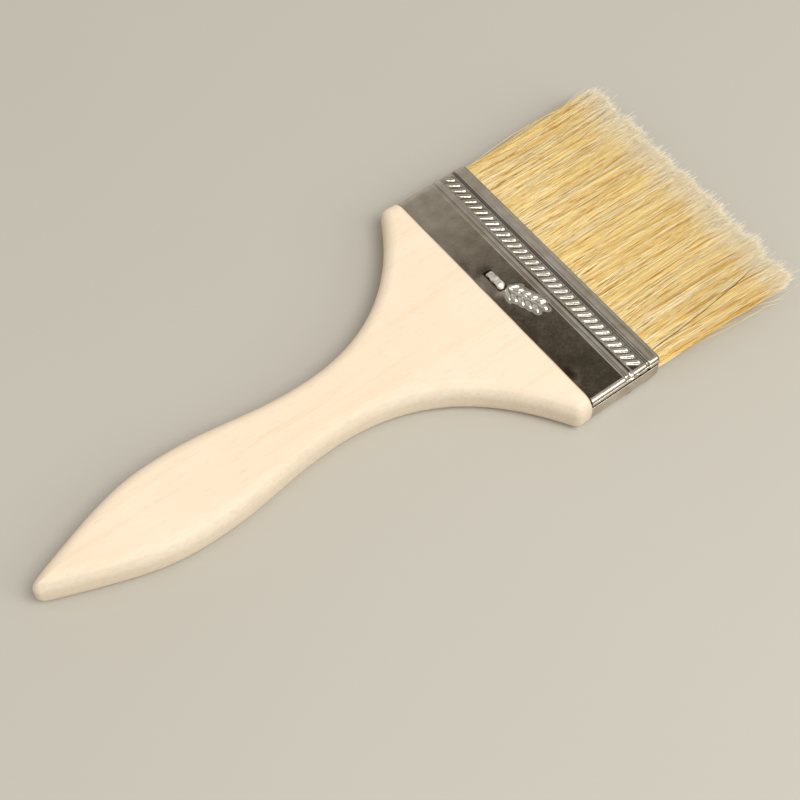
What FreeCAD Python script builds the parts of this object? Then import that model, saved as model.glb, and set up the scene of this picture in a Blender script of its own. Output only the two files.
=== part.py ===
import FreeCAD, Part
import math
import os

import Sketcher

# A flat brush lying on its back: +X runs from the tail of the handle to the bristle tips, Y is across
# the width and +Z is up. The row origin is under the middle of the whole brush, on the surface it lies on.
# Every sub-part is drawn about the joint line, where the wooden shoulder meets the ferrule (local X = 0),
# and about the mid-plane of the thickness (local Z = 0). One placement then carries them all.

SIZES = [
    # handle: lengths are measured from the tip of the tail
    ("handle_length", 108.6),
    ("handle_thickness", 7.5),
    ("handle_edge_round", 3.0),
    ("tail_radius", 1.6),
    ("tail_slope", 21.5),
    ("tail_pull", 20.0),
    ("bulge_at", 33.6),
    ("bulge_half", 10.05),
    ("bulge_pull_back", 9.3),
    ("bulge_pull_ahead", 13.5),
    ("waist_at", 65.3),
    ("waist_half", 7.1),
    ("waist_pull_back", 13.1),
    ("waist_pull_ahead", 20.5),
    ("shoulder_at", 104.9),
    ("shoulder_half", 32.6),
    ("shoulder_slope", 60.0),
    ("shoulder_pull", 15.7),
    ("shoulder_corner", 2.0),
    ("shoulder_end_half", 32.4),
    ("tang_length", 9.0),
    # ferrule: a strip of tinplate bent into a flat tube and seamed on one narrow side
    ("ferrule_length", 17.6),
    ("ferrule_width", 64.0),
    ("ferrule_thickness", 7.0),
    ("ferrule_corner", 2.4),
    ("tinplate", 0.35),
    ("relief", 0.25),
    ("seam_gap", 0.2),
    ("ridge_at", 9.9),
    ("ridge_width", 0.75),
    ("bead_row_at", 12.3),
    ("bead_length", 3.2),
    ("bead_width", 0.8),
    ("bead_slope", 34.0),
    ("bead_pitch", 1.86),
    ("bead_count", 33),
    ("loose_fit", 0.05),
    # staples that pin the ferrule to the tang
    ("staple_at", 3.4),
    ("staple_side", 2.9),
    ("staple_span", 5.2),
    ("staple_wire", 1.3),
    ("staple_leg", 0.5),
    ("staple_crown", 0.25),
    ("staple_reach", 2.3),
    # setting, spacer and bristle roots inside the ferrule
    ("resin_length", 1.8),
    ("spacer_thickness", 1.8),
    ("spacer_half_width", 29.0),
    ("root_length", 4.8),
    ("root_row_half_width", 29.5),
    # flexing bristles: they bend about a line just outside the ferrule's mouth
    ("bristle_length", 38.0),
    ("flex_line_ahead", 1.5),
    ("root_half_thickness", 3.0),
    ("tip_half_thickness", 2.2),
    ("root_half_width", 30.2),
    ("tip_half_width", 32.6),
]

doc = FreeCAD.newDocument("Brush")


def make_sheet():
    sheet = doc.addObject("Spreadsheet::Sheet", "Sizes")
    for row, (alias, value) in enumerate(SIZES, start=1):
        sheet.set(f"A{row}", alias)
        sheet.set(f"B{row}", str(value))
        sheet.setAlias(f"B{row}", alias)
    doc.recompute()
    return sheet


sheet = make_sheet()


def size(alias):
    return float(sheet.get(alias))


def bind(thing, target, formula):
    """Bind a property to a formula in the sheet's aliases, each written as <alias>."""
    thing.setExpression(target, formula.replace("<", "Sizes.").replace(">", ""))


def value_of(formula):
    """The number that such a formula gives now, for drawing a sketch at its true size."""
    return float(sheet.evalExpression(formula.replace("<", "Sizes.").replace(">", "")))


def make_body(name):
    """A body for one sub-part, placed so that the whole brush is centred and lies on the XY plane."""
    body = doc.addObject("PartDesign::Body", name)
    body.Label = name
    overall = "(<handle_length> + <ferrule_length> + <bristle_length>)"
    bind(body, "Placement.Base.x", f"<handle_length> - {overall} / 2")
    bind(body, "Placement.Base.z", "<handle_thickness> / 2")
    return body


def make_sketch(body, name, plane, offset=None):
    """A sketch on one of the body's own origin planes, moved along its normal by a formula."""
    sketch = body.newObject("Sketcher::SketchObject", name)
    plane_object = next(item for item in body.Origin.OriginFeatures if item.Role == plane)
    sketch.AttachmentSupport = [(plane_object, "")]
    sketch.MapMode = "FlatFace"
    if offset:
        bind(sketch, "AttachmentOffset.Base.z", offset)
    return sketch


def draw_box(sketch, low_x, high_x, low_y, high_y):
    """A rectangle whose four sides stand at distances given by formulas."""
    x0, x1, y0, y1 = (value_of(side) for side in (low_x, high_x, low_y, high_y))
    corners = [(x0, y0), (x1, y0), (x1, y1), (x0, y1)]
    points = [FreeCAD.Vector(x, y, 0) for x, y in corners]
    lines = [sketch.addGeometry(Part.LineSegment(points[i], points[(i + 1) % 4])) for i in range(4)]
    for i in range(4):
        sketch.addConstraint(Sketcher.Constraint("Coincident", lines[i], 2, lines[(i + 1) % 4], 1))
    for line in (lines[0], lines[2]):
        sketch.addConstraint(Sketcher.Constraint("Horizontal", line))
    for line in (lines[1], lines[3]):
        sketch.addConstraint(Sketcher.Constraint("Vertical", line))
    anchors = [
        ("DistanceX", lines[0], 1, low_x),
        ("DistanceX", lines[1], 1, high_x),
        ("DistanceY", lines[0], 1, low_y),
        ("DistanceY", lines[2], 1, high_y),
    ]
    for kind, line, end, formula in anchors:
        index = sketch.addConstraint(Sketcher.Constraint(kind, -1, 1, line, end, value_of(formula)))
        bind(sketch, f"Constraints[{index}]", formula)
    return sketch


def draw_rounded_box(sketch, width, height, corner):
    """A rectangle centred on the sketch's origin with equal round corners, all three sizes by formula."""
    half_w, half_h, radius = value_of(width) / 2, value_of(height) / 2, value_of(corner)
    sides = []
    corners = []
    for quarter in range(4):
        sign_x = 1 if quarter in (0, 3) else -1
        sign_y = 1 if quarter in (0, 1) else -1
        centre = FreeCAD.Vector(sign_x * (half_w - radius), sign_y * (half_h - radius), 0)
        circle = Part.Circle(centre, FreeCAD.Vector(0, 0, 1), radius)
        start = quarter * math.pi / 2
        corners.append(sketch.addGeometry(Part.ArcOfCircle(circle, start, start + math.pi / 2)))
    for quarter in range(4):
        first = sketch.Geometry[corners[quarter]].EndPoint
        second = sketch.Geometry[corners[(quarter + 1) % 4]].StartPoint
        sides.append(sketch.addGeometry(Part.LineSegment(first, second)))
    for quarter in range(4):
        following = corners[(quarter + 1) % 4]
        sketch.addConstraint(Sketcher.Constraint("Tangent", corners[quarter], 2, sides[quarter], 1))
        sketch.addConstraint(Sketcher.Constraint("Tangent", sides[quarter], 2, following, 1))
        if quarter:
            sketch.addConstraint(Sketcher.Constraint("Equal", corners[0], corners[quarter]))
    sketch.addConstraint(Sketcher.Constraint("Horizontal", sides[0]))
    sketch.addConstraint(Sketcher.Constraint("Vertical", sides[1]))
    sketch.addConstraint(Sketcher.Constraint("Symmetric", corners[0], 3, corners[2], 3, -1, 1))
    sizes = [
        (Sketcher.Constraint("Radius", corners[0], radius), corner),
        (Sketcher.Constraint("DistanceX", sides[1], 1, sides[3], 1, 2 * half_w), width),
        (Sketcher.Constraint("DistanceY", sides[2], 1, sides[0], 1, 2 * half_h), height),
    ]
    for constraint, formula in sizes:
        index = sketch.addConstraint(constraint)
        bind(sketch, f"Constraints[{index}]", formula)
    return sketch


def draw_inside(sketch, play):
    """The outline of the ferrule's inside, less a play all round."""
    wall = f"2 * <tinplate> - 2 * {play}"
    corner = f"<ferrule_corner> - <tinplate> - {play}"
    draw_rounded_box(sketch, f"<ferrule_width> - {wall}", f"<ferrule_thickness> - {wall}", corner)


def add_feature(body, kind, name, sketch, length, midplane=False, reverse=False):
    """A pad or pocket of a sketch, its length by formula; a pocket has to take material away."""
    before = body.Shape.Volume if body.Shape.Solids else 0.0
    feature = body.newObject(f"PartDesign::{kind}", name)
    feature.Profile = sketch
    bind(feature, "Length", length)
    feature.Midplane = midplane
    feature.Reversed = reverse
    doc.recompute()
    if kind == "Pocket" and feature.Shape.Volume >= before - 1e-6:
        raise RuntimeError(f"{name} cuts nothing")
    return feature


def cubic(start, start_pull, end_pull, end):
    """One cubic curve from its end points and their two tangent pulls."""
    curve = Part.BSplineCurve()
    poles = [start, start + start_pull, end + end_pull, end]
    curve.buildFromPolesMultsKnots(poles, [4, 4], [0.0, 1.0], False, 3)
    return curve


def flank_curves():
    """The three cubic curves of the handle's +Y side, from the tail cap to the shoulder corner."""
    tail_x = -size("handle_length")
    radius = size("tail_radius")
    tail_angle = math.radians(size("tail_slope"))
    shoulder_angle = math.radians(size("shoulder_slope"))
    along = FreeCAD.Vector(1, 0, 0)
    tail_way = FreeCAD.Vector(math.cos(tail_angle), math.sin(tail_angle), 0)
    shoulder_way = FreeCAD.Vector(math.cos(shoulder_angle), math.sin(shoulder_angle), 0)
    cap_x = tail_x + radius * (1 - math.sin(tail_angle))
    cap = FreeCAD.Vector(cap_x, radius * math.cos(tail_angle), 0)
    bulge = FreeCAD.Vector(tail_x + size("bulge_at"), size("bulge_half"), 0)
    waist = FreeCAD.Vector(tail_x + size("waist_at"), size("waist_half"), 0)
    shoulder = FreeCAD.Vector(tail_x + size("shoulder_at"), size("shoulder_half"), 0)
    return [
        cubic(cap, tail_way * size("tail_pull"), along * -size("bulge_pull_back"), bulge),
        cubic(bulge, along * size("bulge_pull_ahead"), along * -size("waist_pull_back"), waist),
        cubic(waist, along * size("waist_pull_ahead"), shoulder_way * -size("shoulder_pull"), shoulder),
    ]


def mirrored(curve):
    """The same curve on the -Y side, run the other way."""
    poles = [FreeCAD.Vector(pole.x, -pole.y, 0) for pole in reversed(curve.getPoles())]
    other = Part.BSplineCurve()
    other.buildFromPolesMultsKnots(poles, [4, 4], [0.0, 1.0], False, 3)
    return other


def draw_handle_outline(sketch):
    upper = flank_curves()
    lower = [mirrored(curve) for curve in reversed(upper)]
    end_top = FreeCAD.Vector(0, size("shoulder_end_half"), 0)
    end_low = FreeCAD.Vector(0, -size("shoulder_end_half"), 0)
    tail_tip = FreeCAD.Vector(-size("handle_length"), 0, 0)
    sketch.addGeometry(Part.Arc(lower[-1].EndPoint, tail_tip, upper[0].StartPoint))
    for curve in upper:
        sketch.addGeometry(curve)
    sketch.addGeometry(Part.LineSegment(upper[-1].EndPoint, end_top))
    sketch.addGeometry(Part.LineSegment(end_top, end_low))
    sketch.addGeometry(Part.LineSegment(end_low, lower[0].StartPoint))
    for curve in lower:
        sketch.addGeometry(curve)


def corner_edges(shape):
    """Names of the two upright edges where the flanks turn into the short straight shoulders."""
    corner_x = size("shoulder_at") - size("handle_length")
    names = []
    for index, edge in enumerate(shape.Edges, start=1):
        box = edge.BoundBox
        if box.ZLength > 1 and abs(box.XMin - corner_x) < 1e-3:
            names.append(f"Edge{index}")
    return names


def long_edges(shape, half_thickness):
    """Names of the edges round the two broad faces, apart from the straight shoulder end."""
    names = []
    for index, edge in enumerate(shape.Edges, start=1):
        box = edge.BoundBox
        in_face = abs(abs(box.ZMin) - half_thickness) < 1e-6 and box.ZLength < 1e-6
        at_end = abs(box.XMax) < 1e-6 and box.XLength < 1e-6
        if in_face and not at_end:
            names.append(f"Edge{index}")
    return names


def staple_slots(body):
    """The two holes of each staple's legs, right through the wood or the tinplate between them."""
    near = "<staple_side> - <staple_span> / 2"
    far = "<staple_side> + <staple_span> / 2"
    low = "<staple_at> - <staple_wire> / 2"
    high = "<staple_at> + <staple_wire> / 2"
    legs = [("near", near, f"{near} + <staple_leg>"), ("far", f"{far} - <staple_leg>", far)]
    for label, start, end in legs:
        sketch = make_sketch(body, f"staple_hole_{label}", "XY_Plane")
        draw_box(sketch, low, high, start, end)
        add_feature(body, "Pocket", f"staple_slot_{label}", sketch, "2 * <handle_thickness>", True)


def add_fillet(body, name, base, edges, radius):
    feature = body.newObject("PartDesign::Fillet", name)
    feature.Base = (base, edges)
    bind(feature, "Radius", radius)
    doc.recompute()
    return feature


def make_handle():
    """Wood: a flat paddle with a round tail, a slim waist and square shoulders, and a tang in the ferrule."""
    body = make_body("handle")
    outline = make_sketch(body, "handle_outline", "XY_Plane")
    draw_handle_outline(outline)
    blank = add_feature(body, "Pad", "handle_blank", outline, "<handle_thickness>", True)
    corners = add_fillet(body, "shoulder_corners", blank, corner_edges(blank.Shape), "<shoulder_corner>")
    rim = long_edges(corners.Shape, size("handle_thickness") / 2)
    add_fillet(body, "handle_rounding", corners, rim, "<handle_edge_round>")
    tang = make_sketch(body, "tang_section", "YZ_Plane")
    draw_inside(tang, "<loose_fit>")
    add_feature(body, "Pad", "tang", tang, "<tang_length>")
    staple_slots(body)
    return body


def band(body, name, start, length, grow):
    """A closed band of tinplate round the brush, standing out from the plain tube by grow."""
    outer = make_sketch(body, f"{name}_outer", "YZ_Plane", start)
    width = f"<ferrule_width> + 2 * {grow}"
    height = f"<ferrule_thickness> + 2 * {grow}"
    draw_rounded_box(outer, width, height, f"<ferrule_corner> + {grow}")
    draw_inside(outer, "0")
    return add_feature(body, "Pad", name, outer, length)


def bead_sketch(body):
    """The outline of the first slanted bead, a short bar with round ends, at the +Y end of the row."""
    sketch = make_sketch(body, "bead_outline", "XY_Plane")
    angle = math.radians(size("bead_slope"))
    first_y = (size("bead_count") - 1) * size("bead_pitch") / 2
    centre = FreeCAD.Vector(size("bead_row_at"), first_y, 0)
    along = FreeCAD.Vector(math.cos(angle), -math.sin(angle), 0)
    side = FreeCAD.Vector(math.sin(angle), math.cos(angle), 0)
    radius = size("bead_width") / 2
    front = centre + along * (size("bead_length") / 2 - radius)
    back = centre - along * (size("bead_length") / 2 - radius)
    up = side * radius
    sketch.addGeometry(Part.Arc(front + up, front + along * radius, front - up))
    sketch.addGeometry(Part.LineSegment(front - up, back - up))
    sketch.addGeometry(Part.Arc(back - up, back - along * radius, back + up))
    sketch.addGeometry(Part.LineSegment(back + up, front + up))
    return sketch


def make_ferrule():
    """Tinplate: a flat tube with a raised ridge, a row of slanted beads on each face and a side seam."""
    body = make_body("ferrule")
    band(body, "tube", "0", "<ferrule_length>", "0")
    band(body, "ridge", "<ridge_at>", "<ridge_width>", "<relief>")
    sketch = bead_sketch(body)
    pad = add_feature(body, "Pad", "bead", sketch, "<ferrule_thickness> + 2 * <relief>", True)
    row = body.newObject("PartDesign::LinearPattern", "bead_row")
    row.Originals = [pad]
    row.Direction = (sketch, ["V_Axis"])
    row.Reversed = True
    bind(row, "Length", "<bead_pitch> * (<bead_count> - 1)")
    bind(row, "Occurrences", "<bead_count>")
    body.Tip = row
    doc.recompute()
    bore = make_sketch(body, "bore_section", "YZ_Plane")
    draw_inside(bore, "0")
    add_feature(body, "Pocket", "bore", bore, "<ferrule_length>", reverse=True)
    seam = make_sketch(body, "seam_section", "YZ_Plane")
    outside = "-<ferrule_width> / 2 - 2 * <relief>"
    inside = "-<ferrule_width> / 2 + 2 * <tinplate>"
    draw_box(seam, outside, inside, "-<seam_gap> / 2", "<seam_gap> / 2")
    add_feature(body, "Pocket", "seam", seam, "<ferrule_length>", reverse=True)
    staple_slots(body)
    return body


def make_staple(name, up):
    """Flat steel wire: a crown lying on the tinplate and two legs down into the tang."""
    body = make_body(name)
    near = "<staple_side> - <staple_span> / 2"
    far = "<staple_side> + <staple_span> / 2"
    sketch = make_sketch(body, f"{name}_side", "YZ_Plane", "<staple_at> - <staple_wire> / 2")
    face = value_of("<ferrule_thickness> / 2")
    top = face + size("staple_crown")
    foot = face - size("staple_reach")
    inner_near = value_of(near) + size("staple_leg")
    inner_far = value_of(far) - size("staple_leg")
    outline = [
        (value_of(near), foot),
        (inner_near, foot),
        (inner_near, face),
        (inner_far, face),
        (inner_far, foot),
        (value_of(far), foot),
        (value_of(far), top),
        (value_of(near), top),
    ]
    points = [FreeCAD.Vector(across, height * up, 0) for across, height in outline]
    for index, point in enumerate(points):
        sketch.addGeometry(Part.LineSegment(point, points[(index + 1) % len(points)]))
    add_feature(body, "Pad", f"{name}_wire", sketch, "<staple_wire>")
    return body


def make_resin():
    """Setting resin: one slab that fills the ferrule between the tang and the bristle roots."""
    body = make_body("setting_resin")
    section = make_sketch(body, "resin_section", "YZ_Plane", "<tang_length> + <loose_fit>")
    draw_inside(section, "<loose_fit>")
    add_feature(body, "Pad", "resin", section, "<resin_length>")
    return body


ROOT_START = "<tang_length> + <resin_length> + 2 * <loose_fit>"


def make_spacer():
    """Wood: the thin wedge strip that parts the front and back rows of bristle roots."""
    body = make_body("spacer_strip")
    section = make_sketch(body, "spacer_section", "YZ_Plane", ROOT_START)
    half_thickness = "<spacer_thickness> / 2"
    draw_box(section, "-<spacer_half_width>", "<spacer_half_width>", f"-{half_thickness}", half_thickness)
    add_feature(body, "Pad", "spacer", section, "<root_length>")
    return body


def make_roots(name, up):
    """Bristle roots on one side of the spacer strip, held still in the ferrule."""
    body = make_body(name)
    section = make_sketch(body, f"{name}_section", "YZ_Plane", ROOT_START)
    outer = "<ferrule_thickness> / 2 - <tinplate> - <loose_fit>"
    inner = "<spacer_thickness> / 2 + <loose_fit>"
    heights = (inner, outer)
    if up < 0:
        heights = (f"-({outer})", f"-({inner})")
    draw_box(section, "-<root_row_half_width>", "<root_row_half_width>", *heights)
    add_feature(body, "Pad", f"{name}_pack", section, "<root_length>")
    return body


def make_bristles(name, up):
    """One row of flexing bristles: a round root about the flex line and a slab that thins to the tips."""
    body = make_body(name)
    flex = value_of("<ferrule_length> + <flex_line_ahead>")
    gap = up * size("loose_fit")
    radius = size("root_half_thickness")
    knuckle = make_sketch(body, f"{name}_root_side", "XZ_Plane")
    halfway = radius * math.sqrt(0.5)
    low = FreeCAD.Vector(flex - math.sqrt(radius**2 - gap**2), gap, 0)
    middle = FreeCAD.Vector(flex - halfway, up * halfway, 0)
    crest = FreeCAD.Vector(flex, up * radius, 0)
    foot = FreeCAD.Vector(flex, gap, 0)
    knuckle.addGeometry(Part.Arc(low, middle, crest))
    knuckle.addGeometry(Part.LineSegment(crest, foot))
    knuckle.addGeometry(Part.LineSegment(foot, low))
    add_feature(body, "Pad", f"{name}_root", knuckle, "2 * <root_half_width>", True)
    sections = []
    ends = [("root", "<ferrule_length> + <flex_line_ahead>"), ("tip", "<ferrule_length> + <bristle_length>")]
    for label, offset in ends:
        section = make_sketch(body, f"{name}_{label}_section", "YZ_Plane", offset)
        heights = ("<loose_fit>", f"<{label}_half_thickness>")
        if up < 0:
            heights = (f"-<{label}_half_thickness>", "-<loose_fit>")
        draw_box(section, f"-<{label}_half_width>", f"<{label}_half_width>", *heights)
        sections.append(section)
    doc.recompute()
    loft = body.newObject("PartDesign::AdditiveLoft", f"{name}_length")
    loft.Profile = sections[0]
    loft.Sections = sections[1:]
    loft.Ruled = True
    doc.recompute()
    return body


def check_document():
    for item in doc.Objects:
        if "Invalid" in item.State or "Error" in item.State:
            raise RuntimeError(f"{item.Name} did not compute: {item.State}")


def export(bodies):
    os.makedirs("parts", exist_ok=True)
    for body in bodies:
        shape = body.Shape
        if shape.isNull() or not shape.isValid() or len(shape.Solids) != 1:
            raise RuntimeError(f"{body.Label} is not one valid solid")
        shape.exportStep(f"parts/{body.Label}.step")
        box = shape.BoundBox
        print(
            f"{body.Label}: {shape.Volume:.1f} mm3,"
            f" X {box.XMin:.2f}..{box.XMax:.2f}, Y {box.YMin:.2f}..{box.YMax:.2f},"
            f" Z {box.ZMin:.2f}..{box.ZMax:.2f}"
        )


bodies = [
    make_handle(),
    make_ferrule(),
    make_staple("staple_front", 1),
    make_staple("staple_back", -1),
    make_resin(),
    make_spacer(),
    make_roots("bristle_roots_front", 1),
    make_roots("bristle_roots_back", -1),
    make_bristles("bristles_front", 1),
    make_bristles("bristles_back", -1),
]
doc.recompute()
check_document()
export(bodies)
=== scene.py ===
import math

import bpy
import numpy as np
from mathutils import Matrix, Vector
from mathutils import noise


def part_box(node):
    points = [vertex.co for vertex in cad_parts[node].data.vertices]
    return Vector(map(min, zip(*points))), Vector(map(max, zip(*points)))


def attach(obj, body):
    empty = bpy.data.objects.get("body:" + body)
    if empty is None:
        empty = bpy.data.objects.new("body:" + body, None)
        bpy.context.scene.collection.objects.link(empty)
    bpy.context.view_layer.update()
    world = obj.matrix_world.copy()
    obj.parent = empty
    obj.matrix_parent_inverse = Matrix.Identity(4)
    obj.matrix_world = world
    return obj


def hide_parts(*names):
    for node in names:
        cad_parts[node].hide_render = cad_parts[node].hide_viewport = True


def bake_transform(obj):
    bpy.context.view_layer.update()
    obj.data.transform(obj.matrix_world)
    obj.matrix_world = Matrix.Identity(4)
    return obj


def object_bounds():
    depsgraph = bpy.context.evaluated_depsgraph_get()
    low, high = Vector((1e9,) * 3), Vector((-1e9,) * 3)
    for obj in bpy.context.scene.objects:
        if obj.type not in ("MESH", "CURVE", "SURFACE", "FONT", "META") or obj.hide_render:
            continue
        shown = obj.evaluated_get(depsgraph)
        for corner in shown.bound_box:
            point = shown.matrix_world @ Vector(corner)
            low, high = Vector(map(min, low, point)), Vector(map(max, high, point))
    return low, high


# A flat pastry brush lying on its back. +X runs from the handle's tail to the bristle tips, Y across the
# width, +Z up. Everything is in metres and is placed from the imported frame.

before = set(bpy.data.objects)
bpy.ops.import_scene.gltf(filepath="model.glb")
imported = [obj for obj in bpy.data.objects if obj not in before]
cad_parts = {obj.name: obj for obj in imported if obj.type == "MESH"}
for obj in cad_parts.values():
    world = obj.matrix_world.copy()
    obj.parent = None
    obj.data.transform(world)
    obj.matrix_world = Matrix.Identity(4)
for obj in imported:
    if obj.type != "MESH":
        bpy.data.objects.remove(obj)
cad_low, cad_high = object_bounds()

MM = 0.001
STRAND_MAP = "OFBake"
HANDLE_LOW, HANDLE_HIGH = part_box("handle")
FERRULE_LOW, FERRULE_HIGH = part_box("ferrule")
TIP_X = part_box("bristles_front")[1].x
MID_Z = (HANDLE_LOW.z + HANDLE_HIGH.z) / 2
LIP_X = FERRULE_HIGH.x
JOINT_X = FERRULE_LOW.x
RELIEF = 0.25 * MM
FERRULE_HALF_WIDTH = FERRULE_HIGH.y - RELIEF
FERRULE_HALF_THICKNESS = FERRULE_HIGH.z - RELIEF - MID_Z
FERRULE_CORNER = 2.0 * MM
TINPLATE = 0.35 * MM
DARK_CEILING = (0.40, 0.335, 0.85)


# ---------------------------------------------------------------- camera, lights, floor


def aim(item, target):
    item.rotation_euler = (Vector(target) - item.location).to_track_quat("-Z", "Y").to_euler()


def make_camera():
    azimuth = math.radians(-37.31)
    elevation = math.radians(56.92)
    distance = 0.34855
    target = Vector(((cad_low.x + cad_high.x) / 2 - 2.05 * MM, -6.8 * MM, MID_Z))
    back = Vector(
        (
            math.sin(azimuth) * math.cos(elevation),
            -math.cos(azimuth) * math.cos(elevation),
            math.sin(elevation),
        )
    )
    data = bpy.data.cameras.new("camera")
    data.lens = 78.89
    data.sensor_width = 36
    camera = bpy.data.objects.new("camera", data)
    bpy.context.scene.collection.objects.link(camera)
    camera.location = target + back * distance
    aim(camera, target)
    bpy.context.scene.camera = camera


def make_area_light(name, place, target, size, watts, colour):
    data = bpy.data.lights.new(name, "AREA")
    data.shape = "RECTANGLE"
    data.size, data.size_y = size
    data.energy = watts
    data.color = colour
    light = bpy.data.objects.new(name, data)
    bpy.context.scene.collection.objects.link(light)
    light.location = place
    aim(light, target)
    return light


def make_world():
    """A studio: pale low down, dimmer overhead, with one dark stretch that the flat metal face mirrors."""
    world = bpy.data.worlds.new("studio")
    bpy.context.scene.world = world
    world.use_nodes = True
    nodes, links = world.node_tree.nodes, world.node_tree.links
    nodes.clear()
    out = nodes.new("ShaderNodeOutputWorld")
    background = nodes.new("ShaderNodeBackground")
    direction = nodes.new("ShaderNodeTexCoord")

    def glow(way, stops):
        """A colour that depends on the angle from one direction, given as (degrees, colour) stops."""
        toward = nodes.new("ShaderNodeVectorMath")
        toward.operation = "DOT_PRODUCT"
        toward.inputs[1].default_value = Vector(way).normalized()
        links.new(direction.outputs["Generated"], toward.inputs[0])
        ramp = nodes.new("ShaderNodeValToRGB")
        elements = ramp.color_ramp.elements
        for _ in stops[2:]:
            elements.new(0.5)
        for element, (degrees, colour) in zip(elements, sorted(stops, reverse=True)):
            element.position = math.cos(math.radians(degrees))
            element.color = (*colour, 1)
        links.new(toward.outputs["Value"], ramp.inputs["Fac"])
        return ramp.outputs["Color"]

    sky = glow((0, 0, 1), [(90, (0.74, 0.73, 0.70)), (55, (0.62, 0.61, 0.585)), (10, (0.52, 0.51, 0.49))])
    dark_stops = [
        (12.6, (1.0, 1.0, 1.0)),
        (9.4, (0.94, 0.90, 0.84)),
        (8.2, (0.30, 0.27, 0.22)),
        (6.6, (0.125, 0.105, 0.075)),
    ]
    dark = glow(DARK_CEILING, dark_stops)
    both = nodes.new("ShaderNodeMix")
    both.data_type = "RGBA"
    both.blend_type = "MULTIPLY"
    both.inputs["Factor"].default_value = 1.0
    links.new(sky, both.inputs[6])
    links.new(dark, both.inputs[7])
    links.new(both.outputs[2], background.inputs["Color"])
    background.inputs["Strength"].default_value = 0.92
    links.new(background.outputs["Background"], out.inputs["Surface"])


def make_lights():
    centre = (0.01, 0.0, 0.0)
    make_area_light("overhead", (0.08, -0.62, 1.05), centre, (0.8, 0.6), 10.4, (1.0, 0.985, 0.96))
    make_area_light("near_right", (0.45, -0.72, 0.42), centre, (0.5, 0.4), 1.9, (1.0, 0.975, 0.94))


def make_floor():
    """The floor lies a hair's breadth below the resting plane, clear of the sheet metal's pressed lines."""
    mesh = bpy.data.meshes.new("floor")
    half = 2.5
    z = -0.08 * MM
    mesh.from_pydata(
        [(-half, -half, z), (half, -half, z), (half, half, z), (-half, half, z)], [], [(0, 1, 2, 3)]
    )
    floor = bpy.data.objects.new("floor", mesh)
    bpy.context.scene.collection.objects.link(floor)
    floor.data.materials.append(floor_material())


# ---------------------------------------------------------------- materials


class Shader:
    """A small helper round one material's node tree."""

    def __init__(self, name):
        self.material = bpy.data.materials.new(name)
        self.material.use_nodes = True
        self.nodes = self.material.node_tree.nodes
        self.links = self.material.node_tree.links
        self.surface = self.nodes["Principled BSDF"]

    def link(self, source, target):
        self.links.new(source, target)

    def place(self, stretch):
        """Object coordinates in metres, scaled along each axis."""
        coordinates = self.nodes.new("ShaderNodeTexCoord")
        mapping = self.nodes.new("ShaderNodeMapping")
        mapping.inputs["Scale"].default_value = stretch
        self.link(coordinates.outputs["Object"], mapping.inputs["Vector"])
        return mapping.outputs["Vector"]

    def noise(self, vector, scale, detail=4.0, roughness=0.55, distortion=0.0):
        texture = self.nodes.new("ShaderNodeTexNoise")
        texture.inputs["Scale"].default_value = scale
        texture.inputs["Detail"].default_value = detail
        texture.inputs["Roughness"].default_value = roughness
        texture.inputs["Distortion"].default_value = distortion
        self.link(vector, texture.inputs["Vector"])
        return texture.outputs["Fac"]

    def ramp(self, value, stops):
        made = self.nodes.new("ShaderNodeValToRGB")
        elements = made.color_ramp.elements
        for _ in stops[2:]:
            elements.new(0.5)
        for element, (position, colour) in zip(elements, stops):
            element.position = position
            element.color = (*colour, 1.0)
        self.link(value, made.inputs["Fac"])
        return made.outputs["Color"]

    def remap(self, value, from_low, from_high, to_low, to_high):
        made = self.nodes.new("ShaderNodeMapRange")
        for index, number in enumerate((from_low, from_high, to_low, to_high), start=1):
            made.inputs[index].default_value = number
        self.link(value, made.inputs["Value"])
        return made.outputs["Result"]

    def mix(self, factor, first, second, mode="MIX"):
        made = self.nodes.new("ShaderNodeMix")
        made.data_type = "RGBA"
        made.blend_type = mode
        if isinstance(factor, float):
            made.inputs["Factor"].default_value = factor
        else:
            self.link(factor, made.inputs["Factor"])
        for socket, colour in ((made.inputs[6], first), (made.inputs[7], second)):
            if isinstance(colour, tuple):
                socket.default_value = (*colour, 1.0)
            else:
                self.link(colour, socket)
        return made.outputs[2]

    def bump(self, height, strength, distance):
        made = self.nodes.new("ShaderNodeBump")
        made.inputs["Strength"].default_value = strength
        made.inputs["Distance"].default_value = distance
        self.link(height, made.inputs["Height"])
        return made.outputs["Normal"]

    def attribute(self, name):
        made = self.nodes.new("ShaderNodeAttribute")
        made.attribute_name = name
        return made.outputs["Fac"]


def floor_material():
    shader = Shader("floor")
    spots = shader.noise(shader.place((1, 1, 1)), 3.0)
    colour = shader.ramp(spots, [(0.35, (0.502, 0.474, 0.414)), (0.65, (0.519, 0.491, 0.432))])
    shader.link(colour, shader.surface.inputs["Base Color"])
    shader.surface.inputs["Roughness"].default_value = 0.62
    shader.surface.inputs["Specular IOR Level"].default_value = 0.25
    return shader.material


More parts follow.
